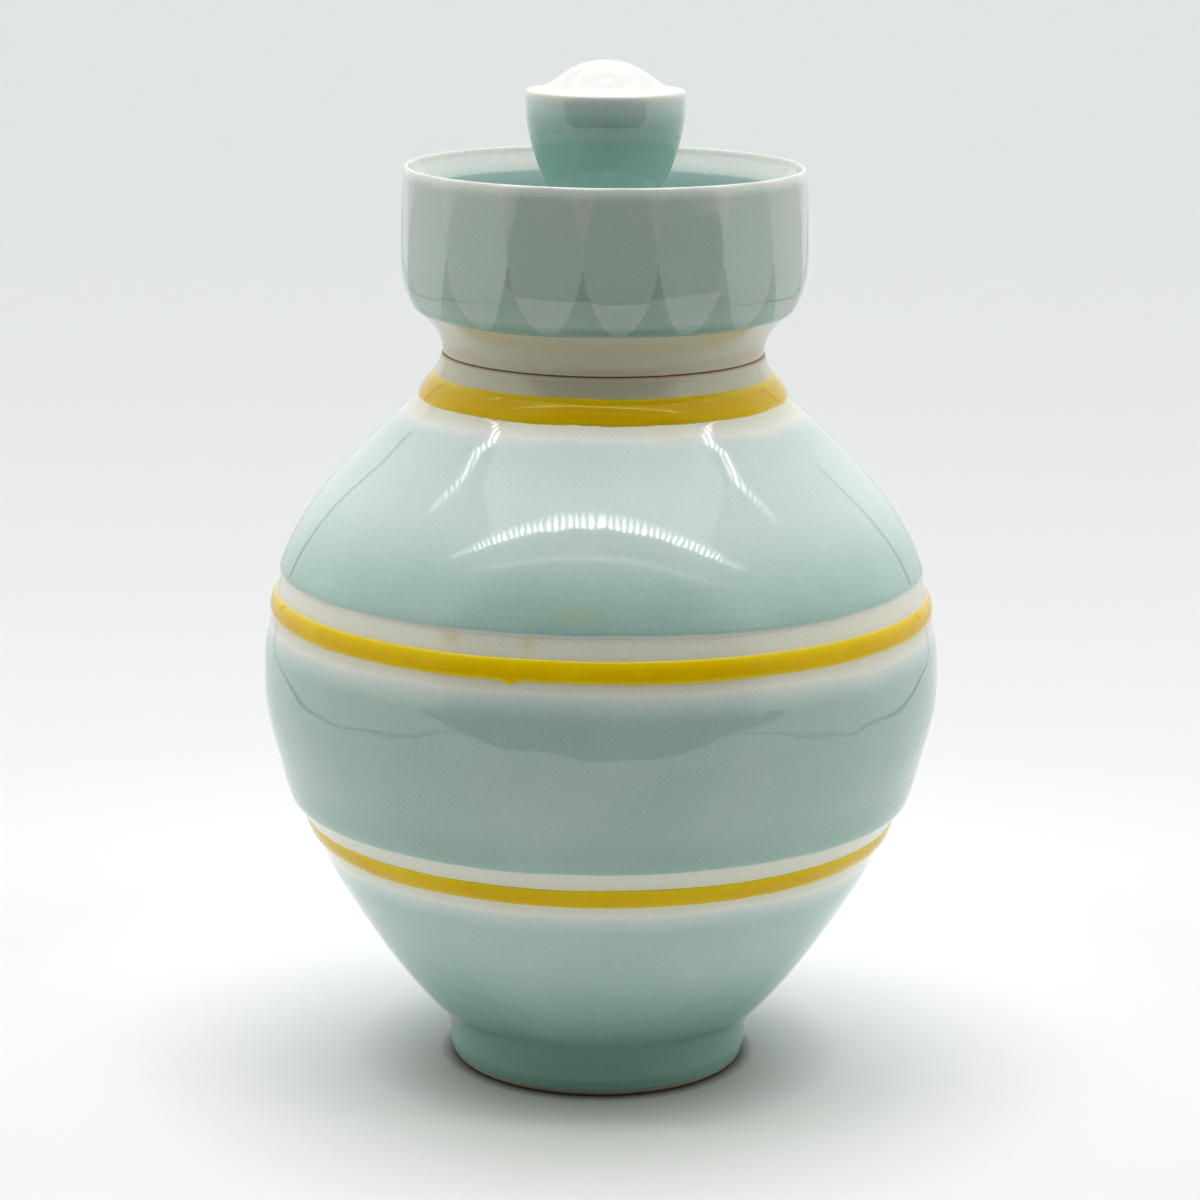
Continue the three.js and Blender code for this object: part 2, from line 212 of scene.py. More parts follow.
# How the glaze edges wander: waves of so many mm, how many of them go round the jar, and a seed
FOOT_WAVES = ((0.35, 14, 1),)
HIP_WAVES = ((0.35, 8, 2), (0.12, 40, 3))
SHOULDER_WAVES = ((0.35, 9, 4), (0.14, 45, 5))
FADE_WAVES = ((0.9, 10, 6), (0.4, 34, 7))
COLLAR_WAVES = ((0.2, 9, 41), (0.08, 50, 42))
RING_BOTTOM_WAVES = ((0.22, 22, 0), (0.1, 80, 1))
RING_TOP_WAVES = ((0.18, 18, 2), (0.08, 70, 3))
RING_CREST_WAVES = ((0.25, 16, 4),)

# Yellow rings: lower and upper edge, and how far they stand up
HIP_RING = (52.5, 56.8)
SHOULDER_RING = (102.1, 106.6)
NECK_RING = (148.5, 153.6)
RING_PROUD = 0.55
NECK_RING_PROUD = 0.75
RING_BEDDING = 0.5
RING_ROWS = 19
BEAD_SAG = 0.75
BEAD_FULLNESS = 2.2
BEAD_FLANK = 0.85
SHOULDER_RUN = (-14.7, 0.9, 0.9)

# Yellow stains: azimuth in degrees, height, half width in degrees, and strength
STAINS = (
    (-25.5, 109.6, 1.6, 0.5),
    (-12, 109.8, 1.1, 0.5),
    (-4.5, 115.2, 4.5, 0.28),
    (20, 146.5, 6, 0.15),
)
STAIN_HEIGHT = 1.5
RING_TRACE = 0.22
RING_TRACE_REACH = 1.2

# How much painted shade greys and warms each place
BELLY_SHADE = 0.22
NECK_SHADE = 0.9
WAIST_SHADE = 0.9
GLAZED_CUP_LESS_SHADE = 0.25
KNOB_SHADE = 0.1
SHADE_BLUR = 4

# How far under the lip the cup's painted shade sets in, and how far under its rim the knob's does
CUP_SHADE_START = (1, 3)
KNOB_SHADE_START = 1

# How much bare clay shows through the waist's thin glaze, and up to where. It also darkens the waist
# towards the seat as painted shade
WAIST_BARE_AND_SHADE = 0.35
WAIST_BARE_FADE = (1.5, 6)

# Rows of the wall: up to which height, and how far apart. They are closer where a glaze ends
WALL_STEPS = ((4, 0.2), (58, 0.8), (67, 0.22), (107, 0.8), (117, 0.22), (RIM_HEIGHT - RIM_EDGE, 0.6))

# Rows of the lid's side: how far apart, how far apart round the collar, where its glaze ends and the
# petals start, and between which heights that is
LID_STEP = 0.4
COLLAR_STEP = 0.16
COLLAR_ROWS = (WAIST_HEIGHT - 1.5, PETAL_FOOT + 4)

# Columns round the jar, the lid and the knob
COLUMNS = 432
LID_COLUMNS = 40 * PETALS
KNOB_COLUMNS = 192


# Small tools for outlines

def bezier(*handles, steps=60):
    """Points of a Bezier curve through any number of (radius, height) handles."""
    share = np.linspace(0, 1, steps + 1)[:, None]
    levels = [np.array(handle, float) for handle in handles]
    while len(levels) > 1:
        levels = [a * (1 - share) + b * share for a, b in zip(levels, levels[1:])]
    return levels[0]


def lean(start, angle, length):
    """The point at a length from another, in a direction that leans outward from upright."""
    return start[0] + length * math.sin(angle), start[1] + length * math.cos(angle)


def lean_out(start, end, angle, steps=60):
    """A bend that starts upright and ends leaning outward."""
    corner = (start[0], end[1] - (end[0] - start[0]) / math.tan(angle))
    return bezier(start, corner, end, steps=steps)


def ease(value, low, high):
    """0 below low, 1 above high, and smooth between."""
    share = np.clip((value - low) / (high - low), 0, 1)
    return share * share * (3 - 2 * share)


def nose(distance, length):
    """The rounded edge of a thick glaze: 0 before it starts, 1 from a length on."""
    return np.sqrt(1 - (1 - np.clip(distance / length, 0, 1)) ** 2)


def wander(azimuth, waves, seed):
    """A line that wanders between about -1 and 1, with about that many waves round the jar."""
    reach = waves / math.tau
    spots = [Vector((reach * math.cos(a), reach * math.sin(a), seed)) for a in azimuth]
    return np.array([noise.noise(spot) for spot in spots])


def edge_line(level, azimuth, waves, seed=0):
    """The edge of a glaze, which wanders about its level."""
    return sum((reach * wander(azimuth, count, seed + own) for reach, count, own in waves), level)


def spread(points, spacing):
    """The same outline with no step longer than the spacing."""
    points = np.array(points, float)
    filled = [points[:1]]
    for start, end in zip(points, points[1:]):
        steps = max(1, math.ceil(np.linalg.norm(end - start) / spacing))
        filled.append(start + (end - start) * np.arange(1, steps + 1)[:, None] / steps)
    return np.vstack(filled)


class Upright:
    """An outline that only rises: gives its radius and its outward normal at any height."""

    def __init__(self, *curves):
        points = np.vstack([curve[:-1] for curve in curves] + [curves[-1][-1:]])
        along = np.gradient(points, axis=0)
        along /= np.linalg.norm(along, axis=1)[:, None]
        self.radius, self.height = points.T
        self.outward, self.upward = along[:, 1], -along[:, 0]

    def at(self, height):
        lines = (self.radius, self.outward, self.upward)
        return [np.interp(height, self.height, line) for line in lines]

    def raised(self, height, thickness):
        """Radius and height of the surface at a thickness over the outline."""
        radius, outward, upward = self.at(height)
        return radius + outward * thickness, height + upward * thickness


# Meshes of rows round the axis. A row is the same height all round, or varies with azimuth

def rows(points, columns, **layers):
    """Rows that are the same all round, from (radius, height) points."""
    points = np.array(points, float)
    wide = np.ones((len(points), columns))
    block = {"radius": points[:, :1] * wide, "height": points[:, 1:] * wide}
    for name, value in layers.items():
        block[name] = np.reshape(value, (-1, 1)) * wide
    return block


def stacked(*blocks):
    """Blocks of rows joined into one, with 0 where a block lacks a layer."""
    names = {name for block in blocks for name in block}
    empty = [np.zeros_like(block["radius"]) for block in blocks]
    return {name: np.vstack([b.get(name, zero) for b, zero in zip(blocks, empty)]) for name in names}


def turned(name, block, lift=0, poles=None):
    """A mesh from rows, closed by two points on the axis, or into a ring if there are none."""
    radius, height = block["radius"], block["height"] + lift
    count, columns = radius.shape
    azimuth = np.linspace(0, math.tau, columns, endpoint=False)
    spots = np.stack((radius * np.sin(azimuth), -radius * np.cos(azimuth), height), axis=-1)
    places = np.arange(count * columns).reshape(count, columns)
    beside = np.roll(places, -1, axis=1)
    above = np.roll(places, -1, axis=0)
    above_beside = np.roll(beside, -1, axis=0)
    last = count if poles is None else count - 1
    faces = np.stack((places, beside, above_beside, above), axis=-1)[:last].reshape(-1, 4).tolist()
    corners = spots.reshape(-1, 3)
    if poles is not None:
        first, end = len(corners), len(corners) + 1
        corners = np.vstack((corners, [(0, 0, poles[0] + lift), (0, 0, poles[1] + lift)]))
        faces += [(b, a, first) for a, b in zip(places[0].tolist(), beside[0].tolist())]
        faces += [(a, b, end) for a, b in zip(places[-1].tolist(), beside[-1].tolist())]
    mesh = bpy.data.meshes.new(name)
    mesh.from_pydata((corners * MM).tolist(), [], faces)
    mesh.shade_smooth()
    for layer in sorted(set(block) - {"radius", "height"}):
        values = np.zeros(len(corners), np.float32)
        values[: block[layer].size] = block[layer].ravel()
        mesh.attributes.new(layer, "FLOAT", "POINT").data.foreach_set("value", values)
    piece = bpy.data.objects.new(name, mesh)
    bpy.context.scene.collection.objects.link(piece)
    return piece


def dress(piece, material, body, node):
    """Gives a piece its glaze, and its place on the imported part."""
    piece.data.materials.append(material)
    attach(piece, body)
    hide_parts(node)


# Jar

def jar_wall():
    """The clay's outside, from the foot's edge to the rim."""
    foot = (FOOT_RADIUS, FOOT_HEIGHT)
    start = (FOOT_RADIUS + FLARE_REACH, FOOT_HEIGHT + FLARE_HEIGHT)
    below_belly = (BELLY_RADIUS, BELLY_HEIGHT - LOWER_BELLY_SWEEP)
    belly = (BELLY_RADIUS, BELLY_HEIGHT)
    above_belly = (BELLY_RADIUS, BELLY_HEIGHT + UPPER_BELLY_SWEEP)
    root = (RIM_RADIUS + NECK_FLARE, BELLY_HEIGHT + SHOULDER_RISE)
    neck = (RIM_RADIUS + NECK_HOLLOW, (root[1] + RIM_HEIGHT) / 2)
    return Upright(
        bezier((FOOT_RADIUS, FOOT_EDGE), foot),
        lean_out(foot, start, HIP_ANGLE),
        bezier(start, lean(start, HIP_ANGLE, HIP_SWEEP), below_belly, belly),
        bezier(belly, above_belly, lean(root, -SHOULDER_ANGLE, -SHOULDER_SWEEP), root),
        bezier(root, neck, (RIM_RADIUS, RIM_HEIGHT - RIM_EDGE)),
    )


def celadon_on_wall(height, azimuth):
    """How thick the celadon lies on the wall and how deep its colour is, both in mm of glaze."""
    zones = (
        (edge_line(FOOT_GLAZE, azimuth, FOOT_WAVES), HIP_FADE, FOOT_ZONE),
        (edge_line(HIP_GLAZE, azimuth, HIP_WAVES), SHOULDER_FADE, BELLY_ZONE),
        (edge_line(SHOULDER_GLAZE, azimuth, SHOULDER_WAVES), NECK_FADE, SHOULDER_ZONE),
    )
    drift = edge_line(0, azimuth, FADE_WAVES)
    thickness = np.zeros(np.broadcast(height, azimuth).shape)
    colour = thickness.copy()
    for start, fade, (layer, run, reach, deeper) in zones:
        risen = height - start
        full = nose(risen, GLAZE_NOSE)
        laid = layer * full * (1 - ease(height + drift, *fade))
        ran = full * (1 - ease(risen, GLAZE_NOSE, reach))
        thickness += laid + run * ran
        colour += laid + deeper * ran
    return thickness, colour


def stains_on_wall(height, azimuth):
    """Faint yellow stains above the shoulder ring and on the neck, and a trace along each ring."""
    amount = np.zeros(np.broadcast(height, azimuth).shape)
    for turn, level, width, strength in STAINS:
        across = (azimuth - math.radians(turn) + math.pi) % math.tau - math.pi
        away = (across / math.radians(width)) ** 2 + ((height - level) / STAIN_HEIGHT) ** 2
        amount += strength * np.exp(-away)
    for lower, upper in (HIP_RING, SHOULDER_RING, NECK_RING):
        outside = np.maximum(0, np.maximum(lower - height, height - upper))
        amount += RING_TRACE * np.exp(-((outside / RING_TRACE_REACH) ** 2))
    return amount


def swell(radius, height, azimuth):
    """The slight unevenness of a hand-thrown wall, in mm, most of it round the belly."""
    x, y, z = np.broadcast_arrays(radius * np.sin(azimuth), radius * np.cos(azimuth), height)
    spots = np.stack((x, y, z), axis=-1).reshape(-1, 3)
    wide = np.array([noise.noise(Vector(spot / SWELL_WIDTH)) for spot in spots]).reshape(x.shape)
    close = np.array([noise.noise(Vector(spot / DENT_WIDTH)) for spot in spots]).reshape(x.shape)
    deeper = BELLY_DENT_DEPTH * ease(height, *BELLY_DENTS_START) * (1 - ease(height, *BELLY_DENTS_END))
    return SWELL_DEPTH * wide + close * (DENT_DEPTH + deeper)


def bared(height):
    """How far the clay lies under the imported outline, to leave room for the glaze over it."""
    return GLAZE * ease(height, FOOT_EDGE, BARED_FOOT) * (1 - ease(height, BARED_NECK, NECK_RING[0]))


def wall_heights():
    """Heights of the wall's rows."""
    low = FOOT_EDGE
    parts = []
    for end, step in WALL_STEPS:
        parts.append(np.linspace(low, end, math.ceil((end - low) / step) + 1)[:-1])
        low = end
    return np.concatenate(parts)[:, None]


def wall_rows(wall, azimuth):
    """The glazed outside."""
    heights = wall_heights()
    laid, celadon = celadon_on_wall(heights, azimuth)
    radius = wall.at(heights)[0]
    thickness = laid * ease(heights, *FOOT_THICKENS) - bared(heights) + swell(radius, heights, azimuth)
    surface = wall.raised(heights, thickness)
    biscuit = (1 - ease(heights, *FOOT_BARE_END)) * np.ones_like(celadon)
    # Painted shade: twice as much on the belly as on the band over it, and none on the shoulder
    on_shoulder = ease(heights, SHOULDER_GLAZE, SHOULDER_GLAZE + SHADE_BLUR)
    belly_share = 2 - ease(heights, *SHOULDER_FADE) - on_shoulder
    on_belly = ease(heights, HIP_GLAZE - SHADE_BLUR / 2, HIP_GLAZE + SHADE_BLUR) * belly_share
    smoked = BELLY_SHADE * on_belly + NECK_SHADE * ease(heights, *NECK_RING)
    return {
        "radius": surface[0],
        "height": surface[1],
        "celadon": celadon,
        "stain": stains_on_wall(heights, azimuth),
        "smoked": smoked * np.ones_like(celadon),
        "biscuit": biscuit,
    }


def foot_rows():
    """Under the jar: the glazed recess and the bare ring that it rests on."""
    inner = FOOT_RADIUS - FOOT_RING_WIDTH
    recess_end = (inner - FOOT_RECESS / 2, FOOT_RECESS)
    recess = spread([(2, FOOT_RECESS), recess_end], 2)
    bank = bezier(recess_end, (inner, FOOT_RECESS), (inner + FOOT_EDGE / 2, 0), steps=8)
    worn = (FOOT_RADIUS - 0.3, 0.2)
    edge = bezier((FOOT_RADIUS - FOOT_EDGE, 0), worn, (FOOT_RADIUS, FOOT_EDGE), steps=6)
    face = spread([bank[-1], edge[0]], 0.8)
    return stacked(
        rows(recess, COLUMNS, celadon=GLAZE),
        rows(bank[1:-1], COLUMNS, biscuit=1),
        rows(np.vstack((face, edge[1:-1])), COLUMNS, biscuit=1),
    )


def mouth_rows(wall):
    """The bare rim, then the inside down to its floor under a thin glaze."""
    mouth = RIM_RADIUS - RIM_WIDTH
    edge = RIM_HEIGHT - RIM_EDGE
    outer = ((RIM_RADIUS, edge), (RIM_RADIUS, RIM_HEIGHT), (RIM_RADIUS - RIM_EDGE, RIM_HEIGHT))
    inner = ((mouth + RIM_EDGE, RIM_HEIGHT), (mouth, RIM_HEIGHT), (mouth, edge))
    rim = np.vstack((bezier(*outer, steps=4), bezier(*inner, steps=4)))
    root = BELLY_HEIGHT + SHOULDER_RISE
    start = FOOT_HEIGHT + FLARE_HEIGHT
    floor = FOOT_RECESS + BASE
    within = np.stack(wall.raised(np.linspace(root - 1, start, 60), -WALL), axis=1)
    under, low = within[0], within[-1]
    corner = (low[0] - (low[1] - floor) * math.tan(HIP_ANGLE), floor)
    throat_bend = (mouth, under[1] + (under[0] - mouth) / math.tan(SHOULDER_ANGLE))
    throat = bezier((mouth, RIM_HEIGHT - MOUTH_DEPTH), throat_bend, under, steps=8)
    turn = bezier(low, corner, (corner[0] - FLOOR_ROUND, floor), steps=8)
    inside = np.vstack((throat, within[1:-1], turn, spread([turn[-1], (2, floor)], 2)[1:]))
    return stacked(rows(rim, COLUMNS, biscuit=1), rows(inside, COLUMNS, celadon=LIP_GLAZE))


def glazed_ring(name, wall, edges, seed, proud=RING_PROUD, runs=()):
    """A trailed ring of yellow glaze: a bead that sagged a little, bedded in the clay.

    Each run is a drop of it, with its azimuth and half width in degrees and its length.
    """
    azimuth = np.linspace(0, math.tau, COLUMNS, endpoint=False)
    lower = edge_line(edges[0], azimuth, RING_BOTTOM_WAVES, seed)
    upper = edge_line(edges[1], azimuth, RING_TOP_WAVES, seed)
    for turn, width, length in runs:
        away = (azimuth - math.radians(turn % 360)) / math.radians(width)
        lower = lower - length * np.exp(-(away**2))
    across = np.linspace(0, 1, RING_ROWS)[:, None]
    heights = lower + (upper - lower) * across
    crest = proud * edge_line(1, azimuth, RING_CREST_WAVES, seed)
    bead = crest * (1 - np.abs(2 * across**BEAD_SAG - 1) ** BEAD_FULLNESS) ** BEAD_FLANK
    radius = wall.at(heights)[0]
    base = swell(radius, heights, azimuth) - bared(heights)
    surface = wall.raised(heights, base + bead)
    inner = wall.raised(heights[::-6], base[::-6] - RING_BEDDING)
    top = {"radius": surface[0], "height": surface[1], "yellow": bead}
    under = {"radius": inner[0], "height": inner[1]}
    return turned(name, stacked(top, under))


def make_jar(porcelain, yellow):
    """The thrown jar and its three trailed rings."""
    azimuth = np.linspace(0, math.tau, COLUMNS, endpoint=False)
    wall = jar_wall()
    block = stacked(foot_rows(), wall_rows(wall, azimuth), mouth_rows(wall))
    jar = turned("thrown_jar", block, poles=(FOOT_RECESS, FOOT_RECESS + BASE))
    dress(jar, porcelain, "jar", "jar_body")
    hip = glazed_ring("hip_ring", wall, HIP_RING, 11)
    shoulder = glazed_ring("shoulder_ring", wall, SHOULDER_RING, 21, runs=(SHOULDER_RUN,))
    neck = glazed_ring("neck_ring", wall, NECK_RING, 31, proud=NECK_RING_PROUD)
    dress(hip, yellow, "jar", "hip_glaze_ring")
    dress(shoulder, yellow, "jar", "shoulder_glaze_ring")
    dress(neck, yellow, "jar", "neck_glaze_ring")


# Lid

def petal_edge(index):
    """Where two neighbouring petals meet, counted round the cup."""
    turn = math.tau * index / PETALS
    return PETAL_TURN + turn + PETAL_DRIFT * math.sin(turn + PETAL_DRIFT_TURN)


def cut_petals(side, height, azimuth):
    """Radius of the petal-cut wall, the distance to the nearest arris, and where it is left uncut.

    A petal cut by hand isn't quite flat: its crown is a share of the wall's own roundness.
    """
    whole = side.at(height)[0] * np.ones_like(azimuth)
    join = PETAL_FOOT + PETAL_RISE
    lip_start = CUP_HEIGHT - LIP_THICKNESS
    rise = np.clip((height - PETAL_FOOT) / PETAL_RISE, 0, 1)
    eased = np.sin(rise * math.pi / 2)
    upper = np.clip((height - join) / (lip_start - join), 0, 1)
    levels = [whole]
    for index in range(PETALS):
        half = (petal_edge(index + 1) - petal_edge(index)) / 2
        across = (azimuth - petal_edge(index) - half + math.pi) % math.tau - math.pi
        full = side.at(join)[0] * (1 - math.cos(half))
        depth = (1 - PETAL_CROWN) * (full * eased + (PETAL_RIM_DEPTH - full) * upper)
        near = np.abs(across) < 2 * half
        flat = 1 / np.where(near, np.cos(across), 0.5)
        crowned = (whole - depth) * (flat + (1 - flat) * PETAL_CROWN)
        levels.append(np.where(near & (height > PETAL_FOOT), crowned, whole + FAR_OUT))
    uncut = np.argmin(levels, axis=0) == 0
    levels = np.sort(np.stack(levels), axis=0)[:2]
    gap = levels[1] - levels[0]
    radius = levels[0] - ARRIS_SOFTNESS * np.log1p(np.exp(-gap / ARRIS_SOFTNESS))
    rise_of_gap = np.gradient(gap, height[:, 0], axis=0)
    turn_of_gap = np.gradient(gap, azimuth, axis=1) / whole
    steepness = np.sqrt(rise_of_gap**2 + turn_of_gap**2) + 0.01
    away = gap / steepness

    # Below the petals the wall stands out by as much as an arris is softened
    below_petals = gap > FAR_OUT - 1
    radius = radius + ARRIS_SOFTNESS * math.log(2) * below_petals
    return radius, away, uncut * ease(away, 0, ARRIS_WIDTH)


def cup_side():
    """The lid's outside, from its seat to the lip."""
    waist_top = (WAIST_RADIUS + WAIST_FLARE, WAIST_HEIGHT)
    foot = (CUP_RADIUS, WAIST_HEIGHT + (CUP_RADIUS - waist_top[0]) / math.tan(WAIST_ANGLE))
    belly = (CUP_RADIUS, CUP_BELLY)
    lip_start = (LIP_RADIUS, CUP_HEIGHT - LIP_THICKNESS)
    return Upright(
        lean_out((WAIST_RADIUS, RIM_EDGE), waist_top, WAIST_ANGLE),
        bezier(waist_top, foot, belly),
        bezier(belly, (CUP_RADIUS, (CUP_BELLY + lip_start[1]) / 2), lip_start),
    )


def side_rows(side, azimuth):
    """The off-white waist and the petal-cut wall, its glaze thin on every arris and under the lip."""
    low, high = COLLAR_ROWS
    below = np.arange(RIM_EDGE, low, LID_STEP)
    collar = np.arange(low, high, COLLAR_STEP)
    above = np.arange(high, CUP_HEIGHT - LIP_THICKNESS, LID_STEP)
    heights = np.concatenate((below, collar, above))[:, None]
    radius, arris, uncut = cut_petals(side, heights, azimuth)
    risen = heights - edge_line(COLLAR_GLAZE, azimuth, COLLAR_WAVES)
    full = nose(risen, COLLAR_NOSE)
    thinned = 1 - ARRIS_THINNING * np.exp(-((arris / ARRIS_WIDTH) ** 2))
    lip = ease(CUP_HEIGHT - heights, *LIP_FADE)
    roll = COLLAR_ROLL * full * (1 - ease(risen, COLLAR_NOSE, COLLAR_ROLL_HEIGHT))
    # Painted shade and light: the uncut wall is darker at the petals' feet and paler at their tops
    between = uncut * (UNCUT_FOOT_SHADING + (UNCUT_TOP_SHADING - UNCUT_FOOT_SHADING) * ease(heights, *UNCUT_TURN))
    celadon = ((LID_GLAZE * thinned + between) * lip + LIP_GLAZE) * full + COLLAR_ROLL_COLOUR * roll
    outward, upward = side.at(heights)[1:]
    return {
        "radius": radius + outward * roll,
        "height": heights + upward * roll,
        "celadon": celadon,
        # Painted shade on the waist and the cup's side, less where the cup is glazed
        "smoked": (WAIST_SHADE - GLAZED_CUP_LESS_SHADE * full) * ease(CUP_HEIGHT - heights, *CUP_SHADE_START),
        "biscuit": WAIST_BARE_AND_SHADE * (1 - ease(heights, *WAIST_BARE_FADE)) * np.ones_like(full),
    }


def lip_rows(side_block):
    """The thin lip, rounded over, and white because the glaze ran off it."""
    start = CUP_HEIGHT - LIP_THICKNESS
    crown = (LIP_RADIUS - LIP_THICKNESS / 2, CUP_HEIGHT)
    inner = (LIP_RADIUS - LIP_THICKNESS, start)
    over = np.vstack((
        bezier((LIP_RADIUS, start), (LIP_RADIUS, CUP_HEIGHT), crown, steps=6)[1:],
        bezier(crown, (inner[0] + LIP_ROUND, CUP_HEIGHT), inner, steps=6)[1:],
    ))
    outside = over[:, 0] > crown[0]
    celadon = LIP_GLAZE + LID_GLAZE * ease(CUP_HEIGHT - over[:, 1], *LIP_FADE) * outside
    block = rows(over, LID_COLUMNS, celadon=celadon)
    cut = LIP_RADIUS - side_block["radius"][-1]
    share = np.clip((block["radius"] - crown[0]) / (LIP_THICKNESS / 2), 0, 1)
    block["radius"] = block["radius"] - cut * share
    return block


def dish_rows():
    """The inside of the cup: a bevel that thins the wall to its lip, then the wall and the floor."""
    floor = DISH_FLOOR - SEAT
    corner = (CUP_RADIUS - CUP_WALL, floor)
    wall_foot = (corner[0], floor + DISH_ROUND)
    lip = (LIP_RADIUS - LIP_THICKNESS, CUP_HEIGHT - LIP_THICKNESS)
    wall_top = (corner[0], lip[1] - LIP_BEVEL - BEVEL_REACH)
    bend = (wall_top[0] + BEVEL_BEND[0], wall_top[1] + BEVEL_BEND[1])
    bevel = bezier(lip, bend, wall_top, steps=14)
    turn = bezier(wall_foot, corner, (corner[0] - DISH_ROUND, floor), steps=18)
    floor_line = spread([turn[-1], (1, floor)], 1.2)
    inside = np.vstack((bevel[1:], spread([wall_top, wall_foot], 0.4)[1:-1], turn, floor_line[1:]))
    pooled = DISH_POOL * (1 - ease(inside[:, 0], KNOB_FOOT_RADIUS, KNOB_FOOT_RADIUS + DISH_POOL_REACH))
    depth = CUP_HEIGHT - inside[:, 1]
    thickness = LIP_GLAZE + DISH_GLAZE * ease(depth, *DISH_DEPTHS) + pooled
    return rows(inside, LID_COLUMNS, celadon=thickness)


def under_rows():
    """Under the lid: the hollow, the flange and the bare seat."""
    inner = FLANGE_RADIUS - FLANGE_WALL
    end = FLANGE_ROUND - FLANGE_LENGTH
    top, side = (inner - HOLLOW_ROUND, CEILING), (inner, CEILING - HOLLOW_ROUND)
    hollow = np.vstack((
        spread([(1, CEILING), top], 2),
        bezier(top, (inner, CEILING), side, steps=8)[1:],
        spread([side, (inner, end)], 1.5)[1:],
        bezier((inner, end), (inner, -FLANGE_LENGTH), (inner + FLANGE_ROUND, -FLANGE_LENGTH), steps=4)[1:],
    ))
    tip = FLANGE_RADIUS - FLANGE_ROUND
    seat_edge = WAIST_RADIUS - RIM_EDGE
    flange = np.vstack((
        bezier((tip, -FLANGE_LENGTH), (FLANGE_RADIUS, -FLANGE_LENGTH), (FLANGE_RADIUS, end), steps=4),
        spread([(FLANGE_RADIUS, end), (FLANGE_RADIUS, 0)], 1.5)[1:],
        spread([(FLANGE_RADIUS, 0), (seat_edge, 0)], 0.8)[1:],
        bezier((seat_edge, 0), (WAIST_RADIUS, 0), (WAIST_RADIUS, RIM_EDGE), steps=4)[1:-1],
    ))
    return stacked(rows(hollow, LID_COLUMNS, celadon=LIP_GLAZE), rows(flange, LID_COLUMNS, biscuit=1))


def knob_outline():
    """The knob from its luted foot to the crown of its cap."""
    foot = (KNOB_FOOT_RADIUS, -KNOB_JOIN)
    stem_foot = (KNOB_STEM_RADIUS, KNOB_JOIN + KNOB_FOOT_FILLET)
    stem_top = (KNOB_STEM_RADIUS, KNOB_STEM_TOP)
    start = (KNOB_STEM_RADIUS + KNOB_STEM_FLARE, KNOB_BOWL_START)
    bowl = lean(start, KNOB_BOWL_ANGLE, KNOB_BOWL_SWEEP)
    below_side = (KNOB_RADIUS, KNOB_SIDE_TOP - KNOB_SIDE_SWEEP)
    side_top = (KNOB_RADIUS, KNOB_SIDE_TOP)
    band_top = (KNOB_RADIUS, KNOB_RIM - KNOB_RIM_ROUND)
    rim = (KNOB_RADIUS - KNOB_RIM_ROUND, KNOB_RIM)
    cap_foot = (rim[0] - KNOB_CAP_HOLLOW, KNOB_RIM)
    return np.vstack((
        bezier(foot, (KNOB_STEM_RADIUS, KNOB_JOIN), stem_foot, steps=8),
        spread([stem_foot, stem_top], 1)[1:-1],
        lean_out(stem_top, start, KNOB_BOWL_ANGLE, steps=8),
        bezier(start, bowl, below_side, side_top, steps=40)[1:],
        spread([side_top, band_top], 0.3)[1:-1],
        bezier(band_top, (KNOB_RADIUS, KNOB_RIM), rim, steps=5)[:-1],
        bezier(rim, cap_foot, (KNOB_CAP_CROWN, KNOB_HEIGHT), (0, KNOB_HEIGHT), steps=50)[:-1],
    ))


def make_lid(porcelain):
    """The petal-cut cup, and the knob luted into it."""
    azimuth = np.linspace(0, math.tau, LID_COLUMNS, endpoint=False)
    outside = side_rows(cup_side(), azimuth)
    block = stacked(under_rows(), outside, lip_rows(outside), dish_rows())
    cup = turned("petal_cup", block, SEAT, poles=(CEILING, DISH_FLOOR - SEAT))
    dress(cup, porcelain, "lid", "lid_cup")
    outline = knob_outline()
    radius, height = outline.T
    on_cap = radius < KNOB_RADIUS
    layers = (layer * ease(KNOB_RIM - height, start, end) for layer, start, end in KNOB_GLAZE)
    walled = sum(layers, LIP_GLAZE)
    celadon = np.where(on_cap & (height > KNOB_RIM - KNOB_RIM_ROUND), LIP_GLAZE, walled)
    # Painted shade on the knob below its rim
    smoked = KNOB_SHADE * (height < KNOB_RIM - KNOB_SHADE_START)
    block = rows(outline, KNOB_COLUMNS, celadon=celadon, smoked=smoked)
    knob = turned("luted_knob", block, DISH_FLOOR, poles=(-KNOB_JOIN, KNOB_HEIGHT))
    dress(knob, porcelain, "lid", "lid_knob")


# Materials

def linear(code):
    """A linear colour from an sRGB hex value."""
    shades = [int(code[place:place + 2], 16) / 255 for place in (1, 3, 5)]
    return [s / 12.92 if s <= 0.04045 else ((s + 0.055) / 1.055) ** 2.4 for s in shades] + [1]


def grey(level):
    """A linear grey, for light and for shades that multiply a colour."""
    return [level, level, level, 1]


def add(tree, kind, inputs=None, stops=(), out=0, **settings):
    """Adds a node with its settings and links, and gives back one of its outputs."""
    made = tree.nodes.new("ShaderNode" + kind)
    for name, value in settings.items():
        setattr(made, name, value)
    for socket, value in (inputs or {}).items():
        if isinstance(value, bpy.types.NodeSocket):
            tree.links.new(value, made.inputs[socket])
        else:
            made.inputs[socket].default_value = value
    while stops and len(made.color_ramp.elements) < len(stops):
        made.color_ramp.elements.new(1)
    for number, (place, colour) in enumerate(stops):
        made.color_ramp.elements[number].position = place
        made.color_ramp.elements[number].color = colour
    return made.outputs[out] if made.outputs else made


def blank(name):
    """A new material without nodes."""
    material = bpy.data.materials.new(name)
    material.use_nodes = True
    material.node_tree.nodes.clear()
    return material, material.node_tree


def per(length):
    """The scale of a pattern whose cells are that many mm wide."""
    return 1 / (length * MM)


